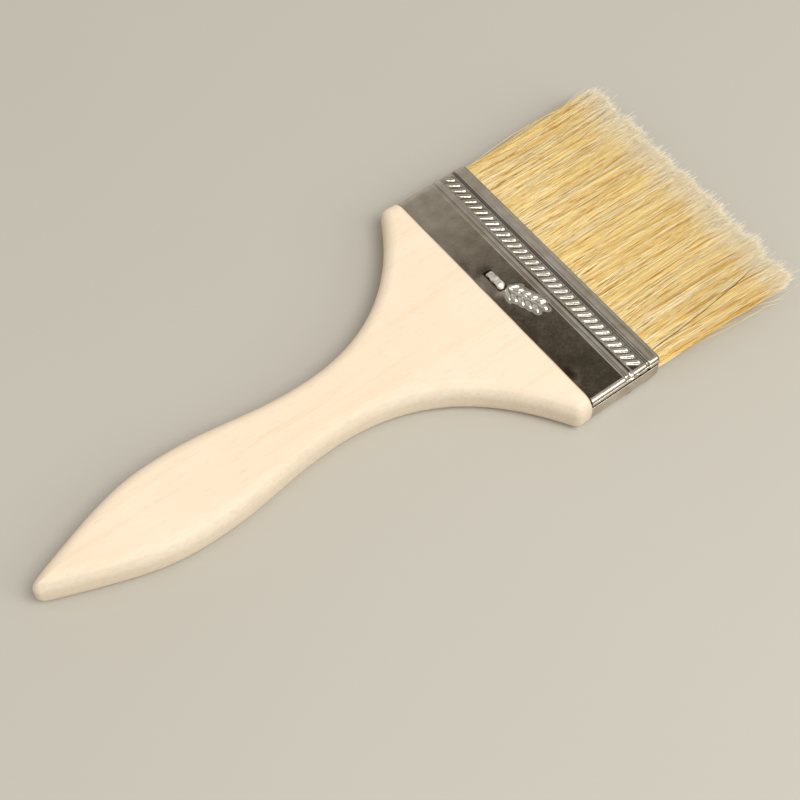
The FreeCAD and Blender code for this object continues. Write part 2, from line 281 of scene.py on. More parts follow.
def wood_material(name, pale, warm, streak):
    """Unfinished sanded wood: long faint grain, short pores along it and a soft dry surface, with painted
    shade in the ferrule joint and on the sides.
    """
    shader = Shader(name)
    along = shader.place((1.0, 14.0, 14.0))
    bands = shader.noise(along, 28.0, detail=3.0, distortion=0.6)
    base = shader.ramp(bands, [(0.22, warm), (0.50, pale), (0.80, pale)])
    fine = shader.noise(shader.place((1.0, 30.0, 30.0)), 90.0, detail=2.0)
    streaks = shader.ramp(fine, [(0.30, streak), (0.42, (1, 1, 1))])
    base = shader.mix(0.4, base, streaks, "MULTIPLY")
    pores = shader.noise(shader.place((1.0, 9.0, 9.0)), 420.0, detail=2.0)
    dots = shader.ramp(pores, [(0.27, (0.86, 0.76, 0.62)), (0.36, (1, 1, 1))])
    base = shader.mix(0.5, base, dots, "MULTIPLY")
    handling = shader.noise(shader.place((1.0, 1.0, 1.0)), 45.0, detail=3.0)
    tint = shader.ramp(handling, [(0.3, (0.975, 0.95, 0.91)), (0.7, (1, 1, 1))])
    base = shader.mix(1.0, base, tint, "MULTIPLY")
    # Painted shade in the gap at the ferrule joint, with some glue grime: a dark brown band along the
    # joint.
    edge = shader.attribute("rim_shade_and_grime")
    base = shader.mix(edge, base, (0.26, 0.135, 0.055))
    # Painted shade on the sides, mottled like raised fibres: a grey that darkens the walls, most on the -Y
    # side.
    nap = shader.noise(shader.place((0.5, 1.0, 1.0)), 1500.0, detail=3.0)
    uneven = shader.remap(nap, 0.35, 0.60, 1.0, 0.72)
    side_shade = shader.mix(1.0, shader.attribute("painted_side_shade"), uneven, "MULTIPLY")
    base = shader.mix(side_shade, base, (0.56, 0.495, 0.40))
    shader.link(base, shader.surface.inputs["Base Color"])
    shader.link(shader.remap(fine, 0.3, 0.7, 0.72, 0.60), shader.surface.inputs["Roughness"])
    shader.surface.inputs["Specular IOR Level"].default_value = 0.3
    fuzz = shader.noise(shader.place((0.6, 1.0, 1.0)), 2600.0, detail=3.0)
    grain = shader.noise(shader.place((1.0, 22.0, 22.0)), 160.0, detail=2.0)
    both = shader.mix(0.5, fuzz, grain)
    shader.link(shader.bump(both, 0.35, 0.00012), shader.surface.inputs["Normal"])
    return shader.material


def tinplate_material():
    """Tinplate: cloudy spangle with bright specks, rubbed streaks, painted shade with some grime low in the
    stamping, and a painted highlight on the raised shapes.
    """
    shader = Shader("tinplate")
    clouds = shader.noise(shader.place((1.0, 1.0, 1.0)), 300.0, detail=5.0, roughness=0.62)
    large = shader.noise(shader.place((1.0, 1.0, 1.0)), 75.0, detail=3.0, distortion=0.8)
    specks = shader.noise(shader.place((1.0, 1.0, 1.0)), 1700.0, detail=2.0)
    metal = shader.ramp(clouds, [(0.30, (0.54, 0.485, 0.405)), (0.70, (0.72, 0.66, 0.575))])
    patches = shader.ramp(large, [(0.30, (0.80, 0.78, 0.74)), (0.70, (1.0, 1.0, 1.0))])
    metal = shader.mix(1.0, metal, patches, "MULTIPLY")
    relief = shader.attribute("relief")
    # Painted shade with some grime: grooves, creases, moats, the seam and the skin round the staple turn
    # near black.
    low = shader.remap(relief, -0.17, -0.07, 0.95, 0.0)
    metal = shader.mix(low, metal, (0.05, 0.038, 0.028))
    # Painted highlight: raised beads, bands and the ornament get a lighter metal colour.
    high = shader.remap(relief, 0.10, 0.26, 0.0, 0.8)
    metal = shader.mix(high, metal, (0.80, 0.78, 0.72))
    shader.link(metal, shader.surface.inputs["Base Color"])
    shader.surface.inputs["Metallic"].default_value = 1.0
    dull = shader.mix(0.5, large, specks)
    shader.link(shader.remap(dull, 0.35, 0.65, 0.09, 0.165), shader.surface.inputs["Roughness"])
    scratch = shader.noise(shader.place((0.7, 6.0, 6.0)), 900.0, detail=2.0)
    both = shader.mix(0.5, specks, scratch)
    shader.link(shader.bump(both, 0.10, 0.00005), shader.surface.inputs["Normal"])
    return shader.material


def steel_material():
    """Bright drawn wire, scuffed by the hammer."""
    shader = Shader("staple_steel")
    scuff = shader.noise(shader.place((1.0, 1.0, 1.0)), 1800.0, detail=4.0)
    colour = shader.ramp(scuff, [(0.36, (0.50, 0.45, 0.38)), (0.52, (0.93, 0.89, 0.81))])
    shader.link(colour, shader.surface.inputs["Base Color"])
    shader.surface.inputs["Metallic"].default_value = 1.0
    shader.link(shader.remap(scuff, 0.3, 0.7, 0.52, 0.32), shader.surface.inputs["Roughness"])
    shader.link(shader.bump(scuff, 0.5, 0.0001), shader.surface.inputs["Normal"])
    return shader.material


def resin_material():
    shader = Shader("resin")
    swirl = shader.noise(shader.place((1.0, 1.0, 1.0)), 300.0, detail=3.0)
    colour = shader.ramp(swirl, [(0.3, (0.16, 0.09, 0.035)), (0.7, (0.27, 0.16, 0.07))])
    shader.link(colour, shader.surface.inputs["Base Color"])
    shader.surface.inputs["Roughness"].default_value = 0.35
    return shader.material


def bristle_material():
    """Natural bristle, coloured by each hair's lane in the strand map and by the share along the hair; the
    low lanes of deep hairs and the dark patches carry painted shade, and the cream lanes partly painted
    highlights.
    """
    shader = Shader("bristle")
    lanes = shader.nodes.new("ShaderNodeUVMap")
    lanes.uv_map = STRAND_MAP
    parts = shader.nodes.new("ShaderNodeSeparateXYZ")
    shader.link(lanes.outputs["UV"], parts.inputs["Vector"])
    # Lanes: nearly black for the one dark hair, darker orange for deep hairs as painted shade, golden in
    # the middle, and cream at the top, partly paler hairs and partly painted highlights.
    hair = shader.ramp(
        parts.outputs["Y"],
        [
            (0.00, (0.035, 0.014, 0.005)),
            (0.03, (0.66, 0.33, 0.06)),
            (0.12, (0.84, 0.55, 0.14)),
            (0.30, (0.92, 0.72, 0.28)),
            (0.66, (0.94, 0.79, 0.42)),
            (0.90, (0.96, 0.87, 0.60)),
            (0.95, (0.98, 0.93, 0.78)),
        ],
    )
    wander = shader.nodes.new("ShaderNodeMapping")
    wander.inputs["Scale"].default_value = (4.0, 400.0, 1.0)
    shader.link(lanes.outputs["UV"], wander.inputs["Vector"])
    patch = shader.noise(wander.outputs["Vector"], 1.0, detail=2.0)
    # Painted shade and uneven colour: dark orange-brown patches along the hairs stand for shaded gaps
    # between them.
    uneven = shader.ramp(patch, [(0.34, (0.60, 0.36, 0.13)), (0.41, (0.97, 0.94, 0.89)), (0.7, (1, 1, 1))])
    hair = shader.mix(1.0, hair, uneven, "MULTIPLY")
    tip = shader.remap(parts.outputs["X"], 0.80, 1.0, 0.0, 0.90)
    hair = shader.mix(tip, hair, (0.98, 0.92, 0.76))
    shader.link(hair, shader.surface.inputs["Base Color"])
    shader.link(shader.remap(patch, 0.3, 0.7, 0.60, 0.48), shader.surface.inputs["Roughness"])
    shader.surface.inputs["Specular IOR Level"].default_value = 0.06
    shader.surface.inputs["Sheen Weight"].default_value = 0.4
    shader.surface.inputs["Sheen Roughness"].default_value = 0.5
    shader.surface.inputs["Sheen Tint"].default_value = (1.0, 0.66, 0.22, 1.0)
    return shader.material


# ---------------------------------------------------------------- mesh helpers


def new_piece(name, points, faces, material):
    mesh = bpy.data.meshes.new(name)
    mesh.from_pydata([tuple(p) for p in points], [], faces)
    mesh.validate()
    mesh.update()
    mesh.polygons.foreach_set("use_smooth", [True] * len(mesh.polygons))
    piece = bpy.data.objects.new(name, mesh)
    bpy.context.scene.collection.objects.link(piece)
    piece.data.materials.append(material)
    return piece


def set_point_values(piece, name, values):
    attribute = piece.data.attributes.new(name, "FLOAT", "POINT")
    attribute.data.foreach_set("value", np.asarray(values, np.float32).ravel())


def smooth_step(low, high, value):
    t = np.clip((value - low) / (high - low), 0.0, 1.0)
    return t * t * (3 - 2 * t)


# ---------------------------------------------------------------- handle

EDGE_ROUND = 3.0 * MM
EDGE_POWER = 2.25
JOINT_CHAMFER = 0.035
TAIL_NOSE = 4.0 * MM
TAIL_THINNING = 0.24
# width of the band of painted joint shade and glue grime
RIM_SHADE_AND_GRIME_WIDTH = 0.34 * MM
OUTLINE_POINTS = 5000
POINTS_PER_SECTION = 8


def smooth_curve(points, count):
    """A cubic curve through the points, sampled evenly along its length."""
    steps = np.linalg.norm(np.diff(points, axis=0), axis=1)
    at = np.concatenate([[0.0], np.cumsum(steps)])
    slopes = np.diff(points, axis=0) / steps[:, None]
    tangents = np.empty_like(points)
    tangents[0], tangents[-1] = slopes[0], slopes[-1]
    before, after = steps[:-1, None], steps[1:, None]
    tangents[1:-1] = (slopes[:-1] * after + slopes[1:] * before) / (before + after)
    where = np.linspace(0, at[-1], count)
    i = np.clip(np.searchsorted(at, where, side="right") - 1, 0, len(steps) - 1)
    gap = steps[i][:, None]
    t = (where - at[i])[:, None] / gap
    start = points[i] * (1 + 2 * t) * (1 - t) ** 2 + tangents[i] * gap * t * (1 - t) ** 2
    end = points[i + 1] * (3 - 2 * t) * t**2 - tangents[i + 1] * gap * t**2 * (1 - t)
    return start + end


def handle_outline(count):
    """The +Y half of the handle's outline, tail to joint, through the points of the frame's own handle."""
    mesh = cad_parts["handle"].data
    points = np.empty(len(mesh.vertices) * 3)
    mesh.vertices.foreach_get("co", points)
    points = points.reshape(-1, 3)
    wall = np.abs(points[:, 2] - MID_Z) < (HANDLE_HIGH.z - MID_Z) - EDGE_ROUND + 0.05 * MM
    ahead = points[:, 0] < JOINT_X - 0.01 * MM
    side = points[wall & ahead & (points[:, 1] > 0), :2]
    side = np.unique(np.round(side, 6), axis=0)
    tail = [HANDLE_LOW.x, 0.0]
    below = side[0] * [1, -1]
    joint = [JOINT_X, HANDLE_HIGH.y - 0.2 * MM]
    curve = smooth_curve(np.vstack([below, tail, side, joint]), count)
    return curve[curve[:, 1] > 0.05 * MM]


def edge_height(beyond):
    """Height above the foot of the rounded edge, by the distance beyond the border of the broad face."""
    return (EDGE_ROUND**EDGE_POWER - beyond**EDGE_POWER) ** (1 / EDGE_POWER)


def handle_ring(x, w, reach, outline):
    """One closed section of the handle: a quarter of the ring is worked out and the rest mirrored."""
    turn = np.linspace(0, 1, 13)
    insets = np.minimum(EDGE_ROUND * turn**1.7 * reach, w * 0.85 * turn**1.7)
    inner = (w - insets[-1]) * np.linspace(1, 0, 9)[1:]
    y = np.concatenate([w - insets, inner])
    near = outline[np.abs(outline[:, 0] - x) < EDGE_ROUND * 1.1]
    both_sides = np.vstack([near, near * [1, -1]])
    away = np.hypot(both_sides[None, :, 0] - x, both_sides[None, :, 1] - y[:, None]).min(axis=1)
    away[0] = 0.0
    half_thick = (HANDLE_HIGH.z - HANDLE_LOW.z) / 2
    z = half_thick - EDGE_ROUND + edge_height(np.clip(EDGE_ROUND - away, 0, EDGE_ROUND))
    quarter = np.vstack([[w, 0.0], np.column_stack([y, z])])
    top = np.vstack([quarter, (quarter * [-1, 1])[::-1][1:]])
    return np.vstack([top, (top * [1, -1])[::-1][1:-1]])


def make_handle():
    outline = handle_outline(OUTLINE_POINTS)
    sections = outline[::POINTS_PER_SECTION]
    x, w = sections[:, 0], sections[:, 1]
    slope = np.gradient(w, x)
    reach = np.clip(np.sqrt(1 + slope**2), 1.0, 2.4)
    rings = np.array([handle_ring(*section, outline) for section in zip(x, w, reach)])
    count = rings.shape[1]
    points = np.empty((len(x), count, 3))
    points[:, :, 0] = x[:, None]
    points[:, :, 1:] = rings
    from_joint = np.clip(1 - (JOINT_X - x) / (0.5 * MM), 0, 1)
    points[:, :, 1:] *= (1 - JOINT_CHAMFER * from_joint**2)[:, None, None] ** np.array([0.1, 1.0])
    from_tail = np.clip(1 - (x - x[0]) / TAIL_NOSE, 0, 1)
    points[:, :, 2] *= (1 - TAIL_THINNING * from_tail**2)[:, None]
    points[:, :, 2] += MID_Z
    wear_surface(points, w)
    tang = tang_rings(rings[-1], w[-1])
    everything = np.concatenate([points, tang])
    vertices = everything.reshape(-1, 3)
    piece = new_piece("wooden_handle", vertices, tube_faces(len(everything), count), WOOD)
    # Painted shade in the gap at the ferrule joint, with some glue grime, as a band along the joint.
    joint_shade_and_grime = 0.95 * np.exp(-(((vertices[:, 0] - JOINT_X) / RIM_SHADE_AND_GRIME_WIDTH) ** 2))
    set_point_values(piece, "rim_shade_and_grime", joint_shade_and_grime)
    # Painted shade on the sides, most on the -Y side.
    set_point_values(piece, "painted_side_shade", painted_side_shade(vertices))
    sharpen(piece, 50)
    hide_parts("handle")
    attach(piece, "grip")


def painted_side_shade(vertices):
    """How much painted shade greys the skin, mottled in the material like raised fibres: most low on the
    sides, and more on the -Y side.
    """
    height = np.abs(vertices[:, 2] - MID_Z)
    near_side = smooth_step(1.0 * MM, -1.0 * MM, vertices[:, 1])
    wall = (0.30 + 0.32 * near_side) * smooth_step(3.1 * MM, 1.2 * MM, height)
    edge = 0.60 * near_side * smooth_step(3.72 * MM, 2.9 * MM, height)
    border = 0.26 * near_side * smooth_step(3.75 * MM, 3.58 * MM, height)
    return np.maximum(np.maximum(wall, border), edge)


def tang_rings(last_ring, last_width):
    """The step down at the joint and the tang's far end, inside the ferrule."""
    half_thick = (HANDLE_HIGH.z - HANDLE_LOW.z) / 2
    half_y = FERRULE_HALF_WIDTH - TINPLATE - 0.3 * MM
    half_z = FERRULE_HALF_THICKNESS - TINPLATE - 0.1 * MM
    rings = []
    for place in (JOINT_X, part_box("handle")[1].x):
        ring = np.empty((len(last_ring), 3))
        ring[:, 0] = place
        ring[:, 1] = last_ring[:, 0] * half_y / last_width
        ring[:, 2] = last_ring[:, 1] * half_z / half_thick + MID_Z
        rings.append(ring)
    return np.array(rings)


def wear_surface(points, widths):
    """Moves the handle's skin a little: sanding waves, torn fibres on the sides and a frayed joint edge."""
    flat = points.reshape(-1, 3)
    widths = np.repeat(widths, points.shape[1])
    for place, width in zip(flat, widths):
        sideness = abs(place[1]) / width
        wave = noise.noise(Vector(place) * 60.0) * 0.06 * MM
        fine = noise.noise(Vector((place[0] * 2300.0, place[1] * 900.0, place[2] * 1600.0)))
        torn = max(0.0, noise.noise(Vector((place[0] * 45.0, place[1] * 9.0, 3.7)))) ** 2
        edge = min(1.0, max(0.0, (sideness - 0.86) / 0.14))
        fibres = fine * (0.02 + 0.22 * torn) * MM * edge
        frayed = max(0.0, 1 - (JOINT_X - place[0]) / (0.6 * MM))
        notch = max(0.0, noise.noise(Vector((1.3, place[1] * 900.0, 8.1)))) * frayed
        place[0] -= notch * 0.22 * MM
        place[1] += math.copysign(wave * 0.5 + fibres, place[1])
        place[2] += wave * 0.35 * (1 - sideness) * math.copysign(1.0, place[2] - MID_Z)


def tube_faces(rings, count):
    """Quads between neighbouring rings, and one cap at each end."""
    faces = []
    for r in range(rings - 1):
        for c in range(count):
            d = (c + 1) % count
            faces.append((r * count + c, r * count + d, (r + 1) * count + d, (r + 1) * count + c))
    faces.append(tuple(range(count))[::-1])
    last = (rings - 1) * count
    faces.append(tuple(range(last, last + count)))
    return faces


# ---------------------------------------------------------------- ferrule

BEAD_PITCH = 1.86 * MM
BEAD_COUNT = 33
BEAD_SHIFT = 0.3 * MM
BEAD_SLOPE = math.radians(36)
BEAD_HALF_LENGTH = 1.26 * MM
BEAD_RADIUS = 0.44 * MM
BEAD_HEIGHT = 0.36 * MM
BEAD_ROW = -5.3 * MM
ORNAMENT_HEIGHT = 0.40 * MM
ORNAMENT_ROOT = (-13.9, 0.4)  # millimetres: distance from the lip, and across
ORNAMENT_TIP = (-10.6, -8.2)
SEAM_Z = 1.38 * MM
SEAM_HALF_GAP = 0.48 * MM
SEAM_CORNER = 1.1 * MM
SEAM_DEPTH = 0.40 * MM


def ferrule_section():
    """Points round the ferrule, starting and ending at the seam in its -Y side.

    Each row holds y, z, the outward normal's y and z, and the distance along the skin from the middle of
    the front or back face.
    """
    half_w, half_h = FERRULE_HALF_WIDTH, FERRULE_HALF_THICKNESS
    rows = []

    def line(start, end, normal, step):
        for t in np.linspace(0, 1, max(2, round(math.dist(start, end) / step)) + 1)[:-1]:
            rows.append((start[0] + (end[0] - start[0]) * t, start[1] + (end[1] - start[1]) * t, *normal))

    def arc(centre, radius, first_turn, count):
        for turn in first_turn + np.linspace(0, math.pi / 2, count + 1)[:-1]:
            way = (math.cos(turn), math.sin(turn))
            rows.append((centre[0] + radius * way[0], centre[1] + radius * way[1], *way))

    seam_low, seam_high = SEAM_Z - SEAM_HALF_GAP, SEAM_Z + SEAM_HALF_GAP
    tucked = -half_w + SEAM_DEPTH
    near_w, near_h = half_w - SEAM_CORNER, half_h - SEAM_CORNER
    far_w, far_h = half_w - FERRULE_CORNER, half_h - FERRULE_CORNER
    line((tucked, seam_high + 0.15 * MM), (tucked, seam_low + 0.1 * MM), (-1, 0), 0.2 * MM)
    line((tucked, seam_low + 0.1 * MM), (-half_w + 0.03 * MM, seam_low + 0.02 * MM), (-1, 0), 0.1 * MM)
    line((-half_w, seam_low), (-half_w, -near_h), (-1, 0), 0.08 * MM)
    arc((-near_w, -near_h), SEAM_CORNER, math.pi, 12)
    line((-near_w, -half_h), (far_w, -half_h), (0, -1), 0.19 * MM)
    arc((far_w, -far_h), FERRULE_CORNER, -math.pi / 2, 12)
    line((half_w, -far_h), (half_w, far_h), (1, 0), 0.3 * MM)
    arc((far_w, far_h), FERRULE_CORNER, 0.0, 14)
    line((far_w, half_h), (-near_w, half_h), (0, 1), 0.155 * MM)
    arc((-near_w, near_h), SEAM_CORNER, math.pi / 2, 26)
    line((-half_w, near_h), (-half_w, seam_high), (-1, 0), 0.06 * MM)
    rows.append((-half_w, seam_high, -1.0, 0.0))
    rows = np.array(rows)
    corner = np.where(rows[:, 0] < 0, SEAM_CORNER, FERRULE_CORNER)
    beyond = np.clip((np.abs(rows[:, 0]) - half_w) / corner + 1, 0, 1)
    skin = np.minimum(np.abs(rows[:, 0]), half_w - corner) + corner * np.arcsin(beyond)
    return np.column_stack([rows, np.copysign(skin, rows[:, 0])])


def bump_line(value, middle, half_width):
    return np.exp(-(((value - middle) / half_width) ** 2))


GROOVES = (
    # distance from the lip, depth and half width in millimetres, and the shares of the depth
    # that are left far from the seam and close to it
    (-2.78, 0.17, 0.17, 1.0, 1.0),
    (-3.28, 0.17, 0.17, 1.0, 1.0),
    (-3.03, 0.06, 0.25, 1.0, 0.0),
    (-8.22, 0.15, 0.16, 1.0, 1.0),
    (-8.72, 0.14, 0.18, 0.35, 1.0),
)


def rolled_relief(u, across):
    """Height of the bands rolled all round, by the distance u from the lip."""
    u = u / MM
    seam_end = smooth_step(-14, -26, across / MM)
    height = 0.16 * smooth_step(-7.95, -7.65, u) * smooth_step(-6.70, -6.95, u)
    for middle, depth, half_width, far_share, seam_share in GROOVES:
        share = far_share + (seam_share - far_share) * seam_end
        height -= depth * bump_line(u, middle, half_width) * share
    bead_floor = 0.05 * smooth_step(-6.95, -6.7, u) * smooth_step(-3.4, -3.7, u)
    from_lip = np.clip(-u / 2.5, 0, 1)
    band = (0.15 * from_lip**2 - 0.05) * smooth_step(-2.75, -2.45, u)
    lip_edge = 0.10 * smooth_step(-0.35, 0.0, u)
    return (height - bead_floor + band - lip_edge) * MM


def bead_relief(u, across):
    """Height of the slanted beads: capsules whose lip-side ends stand highest and lie towards -Y."""
    way = np.array([math.cos(BEAD_SLOPE), -math.sin(BEAD_SLOPE)])
    domes = np.zeros(np.broadcast(u, across).shape)
    moats = np.zeros_like(domes)
    for number in range(BEAD_COUNT):
        middle = (number - (BEAD_COUNT - 1) / 2) * BEAD_PITCH + BEAD_SHIFT
        near = np.abs(across[0] - middle) < 1.6 * MM
        pressed = 0.58 + 0.42 * smooth_step(24 * MM, -2 * MM, middle)  # shallower towards +Y
        du = u[:, near] - BEAD_ROW
        dy = across[:, near] - middle
        along = np.clip(du * way[0] + dy * way[1], -BEAD_HALF_LENGTH, BEAD_HALF_LENGTH)
        share = along / BEAD_HALF_LENGTH
        radius = BEAD_RADIUS * (1 + 0.10 * share)
        away = np.hypot(du - along * way[0], dy - along * way[1]) / radius
        domes[:, near] = np.maximum(domes[:, near], dome_shape(away) * (0.78 + 0.22 * share) * pressed)
        moats[:, near] = np.maximum(moats[:, near], moat_shape(away))
    return np.where(domes > 0, domes, -0.24 * moats) * BEAD_HEIGHT


def dome_shape(away):
    """A rounded top that falls to nothing where away reaches 1."""
    return np.clip(1 - away**2, 0, 1) ** 0.55


def moat_shape(away):
    """The narrow ditch that the stamping die leaves just outside a raised shape."""
    return np.exp(-(((away - 1.22) / 0.26) ** 2)) * (away > 1)


def grain_distance(s, t, centre, lean, half_length, half_width):
    """How far each point is from one grain's middle, as a share of the grain's size that way."""
    turn = math.atan2(lean, 1.0)
    ds, dt = s - centre[0], t - centre[1]
    along = (ds * math.cos(turn) + dt * math.sin(turn)) / half_length
    wide = (dt * math.cos(turn) - ds * math.sin(turn)) / half_width
    return np.hypot(along, wide)


def ornament_relief(u, across):
    """A small stamped ear of wheat beside the staple: a stem, two leaves and paired grains."""
    root, tip = np.array(ORNAMENT_ROOT), np.array(ORNAMENT_TIP)
    length = np.hypot(*(tip - root))
    way = (tip - root) / length
    du, dy = u / MM - root[0], across / MM - root[1]
    s = du * way[0] + dy * way[1]
    t = dy * way[0] - du * way[1]
    shapes = [grain_distance(s, t, (length / 2 - 0.2, 0.0), 0.0, length / 2 - 0.6, 0.34)]
    for side in (-1, 1):
        for pair in range(4):
            shapes.append(grain_distance(s, t, (3.0 + pair * 1.7, side * 1.12), side * 0.62, 1.1, 0.56))
        shapes.append(grain_distance(s, t, (1.6, side * 1.15), side * 1.0, 1.4, 0.42))
    shapes.append(grain_distance(s, t, (length - 0.1, 0.0), 0.0, 1.2, 0.56))
    away = np.min(shapes, axis=0)
    return np.where(away < 1, dome_shape(away), -0.22 * moat_shape(away)) * ORNAMENT_HEIGHT


SIDE_PITS = (
    # distance from the lip, height above the mid-plane, depth, all in millimetres
    (-7.1, 2.1, 0.24),
    (-6.2, 2.4, 0.18),
    (-5.3, 2.05, 0.24),
    (-3.9, 2.3, 0.16),
    (-2.9, 2.0, 0.28),
)


def side_relief(u, z):
    """On the -Y side: a pressed crease, a lapped strip, the rolled-in seam and a few dimples."""
    u, z = u / MM, z / MM
    seam = SEAM_Z / MM
    height = -0.16 * bump_line(z, 2.74, 0.10)
    height = height + 0.10 * smooth_step(seam, seam + 0.1, z) * smooth_step(2.70, 2.58, z)
    height = height - 0.10 * bump_line(z, 2.1, 0.12)
    height = height + 0.09 * bump_line(z, seam - 0.75, 0.14) - 0.17 * bump_line(z, seam - 1.15, 0.12)
    height = height - 0.05 * smooth_step(-2.2, -2.5, z)
    height = height * np.ones_like(u)
    for pit_u, pit_z, depth in SIDE_PITS:
        height = height - depth * np.exp(-(((u - pit_u) / 0.34) ** 2 + ((z - pit_z) / 0.24) ** 2))
    return height * MM


STAPLE_MIDDLE = 2.9  # millimetres from the centre line


def staple_dents(u, across):
    """Faint hollows hammered round the staple and pressed in beside the wooden shoulder."""
    u, across = u / MM, across / MM
    beyond = np.clip(np.abs(across - STAPLE_MIDDLE) - 2.4, 0, 9)
    hollow = 0.065 * np.exp(-(((u + 14.6) / 1.7) ** 2 + (beyond / 1.3) ** 2))
    pinch = 0.13 * np.exp(-(((u + 17.0) / 1.9) ** 2 + ((across + 24.0) / 3.0) ** 2))
    pinch = pinch + 0.05 * np.exp(-(((u + 17.2) / 1.2) ** 2 + ((across - 6.0) / 4.5) ** 2))
    return -(hollow + pinch) * MM


def staple_shade_and_dirt(u, across):
    """How much painted shadow and dirt darken the skin round the staple, from 0 to 1."""
    beside = np.clip(np.abs(u / MM + 14.2) - 0.75, 0, None)
    beyond = np.clip(np.abs(across / MM - STAPLE_MIDDLE) - 2.6, 0, None)
    return np.exp(-((np.hypot(beside, beyond) / 0.34) ** 2))


def skin_waves(u, rows):
    """Faint hand-made waves in the thin sheet, in two sizes."""
    height = np.empty((len(u), len(rows)))
    for i, place in enumerate(u):
        for j, (y, z) in enumerate(rows[:, :2]):
            broad = noise.noise(Vector((place * 90, y * 60, z * 90)))
            fine = noise.noise(Vector((place * 330, y * 260, z * 330 + 7)))
            height[i, j] = (broad * 0.024 + fine * 0.006) * MM
    return height


def ferrule_lines():
    """Stations along X, as distances from the lip, close together where the relief is fine."""
    edges = (
        (FERRULE_LOW.x - LIP_X, -15.9 * MM, 7),
        (-15.9 * MM, -9.0 * MM, 38),
        (-9.0 * MM, -6.7 * MM, 21),
        (-6.7 * MM, -3.6 * MM, 27),
        (-3.6 * MM, -2.4 * MM, 13),
        (-2.4 * MM, -0.3 * MM, 6),
        (-0.3 * MM, 0.0, 5),
    )
    stretches = [np.linspace(low, high, count)[1:] for low, high, count in edges]
    return np.concatenate([[edges[0][0]], *stretches])


def make_ferrule():
    rows = ferrule_section()
    lines = ferrule_lines()
    u, across = np.meshgrid(lines, rows[:, 4], indexing="ij")
    broad = smooth_step(0.45, 0.92, np.abs(rows[:, 3]))
    front = broad * (rows[:, 3] > 0)
    on_seam_side = rows[:, 0] < -(FERRULE_HALF_WIDTH - FERRULE_CORNER)
    face_way = np.sign(rows[:, 3] + 1e-9)
    over_corner = smooth_step(2.0 * MM, 2.7 * MM, np.abs(rows[:, 1]))
    height = rolled_relief(u, across) * (0.12 + 0.88 * over_corner)
    height += bead_relief(u, across * face_way) * broad
    height += ornament_relief(u, across) * front + staple_dents(u, across) * broad
    height += side_relief(u, rows[None, :, 1]) * on_seam_side * (1 - front)
    waves = skin_waves(lines, rows)
    height += waves
    outer = np.empty((*height.shape, 3))
    outer[:, :, 0] = u + LIP_X
    outer[:, :, 1] = rows[:, 0] + rows[:, 2] * height
    outer[:, :, 2] = rows[:, 1] + rows[:, 3] * height + MID_Z
    inner = np.empty((2, len(rows), 3))
    inner[:, :, 0] = np.array([lines[0], lines[-1]])[:, None] + LIP_X
    inner[:, :, 1] = rows[:, 0] - rows[:, 2] * TINPLATE
    inner[:, :, 2] = rows[:, 1] - rows[:, 3] * TINPLATE + MID_Z
    points = np.concatenate([outer.reshape(-1, 3), inner.reshape(-1, 3)])
    piece = new_piece("stamped_ferrule", points, shell_faces(*height.shape), TIN)
    # Painted shadow with some grime: the tucked seam and the skin round the staple are set low in the
    # shading relief so the tinplate paints them dark, and the inner wall's fixed low value paints it a
    # little darker.
    tucked = on_seam_side & (rows[:, 0] > 0.01 * MM - FERRULE_HALF_WIDTH) & (np.abs(rows[:, 1]) < 2 * MM)
    shade_and_dirt = tucked * 0.5 * MM + staple_shade_and_dirt(u, across) * broad * 0.16 * MM
    relief = height - waves - shade_and_dirt
    set_point_values(piece, "relief", np.concatenate([relief.ravel() / MM, np.full(2 * len(rows), -0.1)]))
    sharpen(piece, 70)
    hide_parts("ferrule")
    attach(piece, "grip")


def shell_faces(lines, columns):
    """Faces of the ferrule's shell: its skin, its plain inner wall and the rims that join them."""
    i, j = np.meshgrid(np.arange(lines - 1), np.arange(columns - 1), indexing="ij")
    a = (i * columns + j).ravel()
    faces = np.column_stack([a, a + columns, a + columns + 1, a + 1]).tolist()
    start = lines * columns
    lip_line = (lines - 1) * columns
    for j in range(columns - 1):
        near, far = start + j, start + columns + j
        faces.append((near, near + 1, far + 1, far))
        faces.append((j, j + 1, near + 1, near))
        faces.append((lip_line + j + 1, lip_line + j, far, far + 1))
    first = [line * columns for line in range(lines)]
    last = [line * columns + columns - 1 for line in range(lines)]
    faces.append(tuple(first[::-1] + [start, start + columns]))
    faces.append(tuple(last + [start + 2 * columns - 1, start + columns - 1]))
    return faces


def sharpen(piece, degrees):
    """Marks the edges sharper than an angle, so that smooth shading stops there."""
    piece.data.set_sharp_from_angle(angle=math.radians(degrees))


# ---------------------------------------------------------------- staples

# The front staple (1) stands proud and lumpy; the back one (-1) is beaten nearly flush with the skin.
STAPLE_RISE = {1: 0.42 * MM, -1: -0.10 * MM}
STAPLE_LUMPS = {1: 1.0, -1: 0.35}
STAPLE_THICK = 0.36 * MM
STAPLE_BEND = 0.9 * MM


def staple_path(low, high, foot, top):
    """Centre line of a staple in the YZ plane, as rows of y, z and the outward direction."""
    up = 1 if top > foot else -1
    thick, bend = STAPLE_THICK, STAPLE_BEND
    rows = []
    for t in np.linspace(0, 1, 5)[:-1]:
        rows.append((low + thick, foot + (top - up * bend - foot) * t, -1.0, 0.0))
    for t in np.linspace(0, math.pi / 2, 9)[:-1]:
        y = low + thick + bend * (1 - math.cos(t))
        rows.append((y, top - up * bend * (1 - math.sin(t)), -math.cos(t), up * math.sin(t)))
    for t in np.linspace(0, 1, 29):
        rows.append((low + thick + bend + (high - low - 2 * thick - 2 * bend) * t, top, 0.0, up * 1.0))
    for t in np.linspace(0, math.pi / 2, 9)[1:]:
        y = high - thick - bend * (1 - math.sin(t))
        rows.append((y, top - up * bend * (1 - math.cos(t)), math.sin(t), up * math.cos(t)))
    for t in np.linspace(0, 1, 5)[1:]:
        rows.append((high - thick, top - up * bend + (foot - top + up * bend) * t, 1.0, 0.0))
    return rows


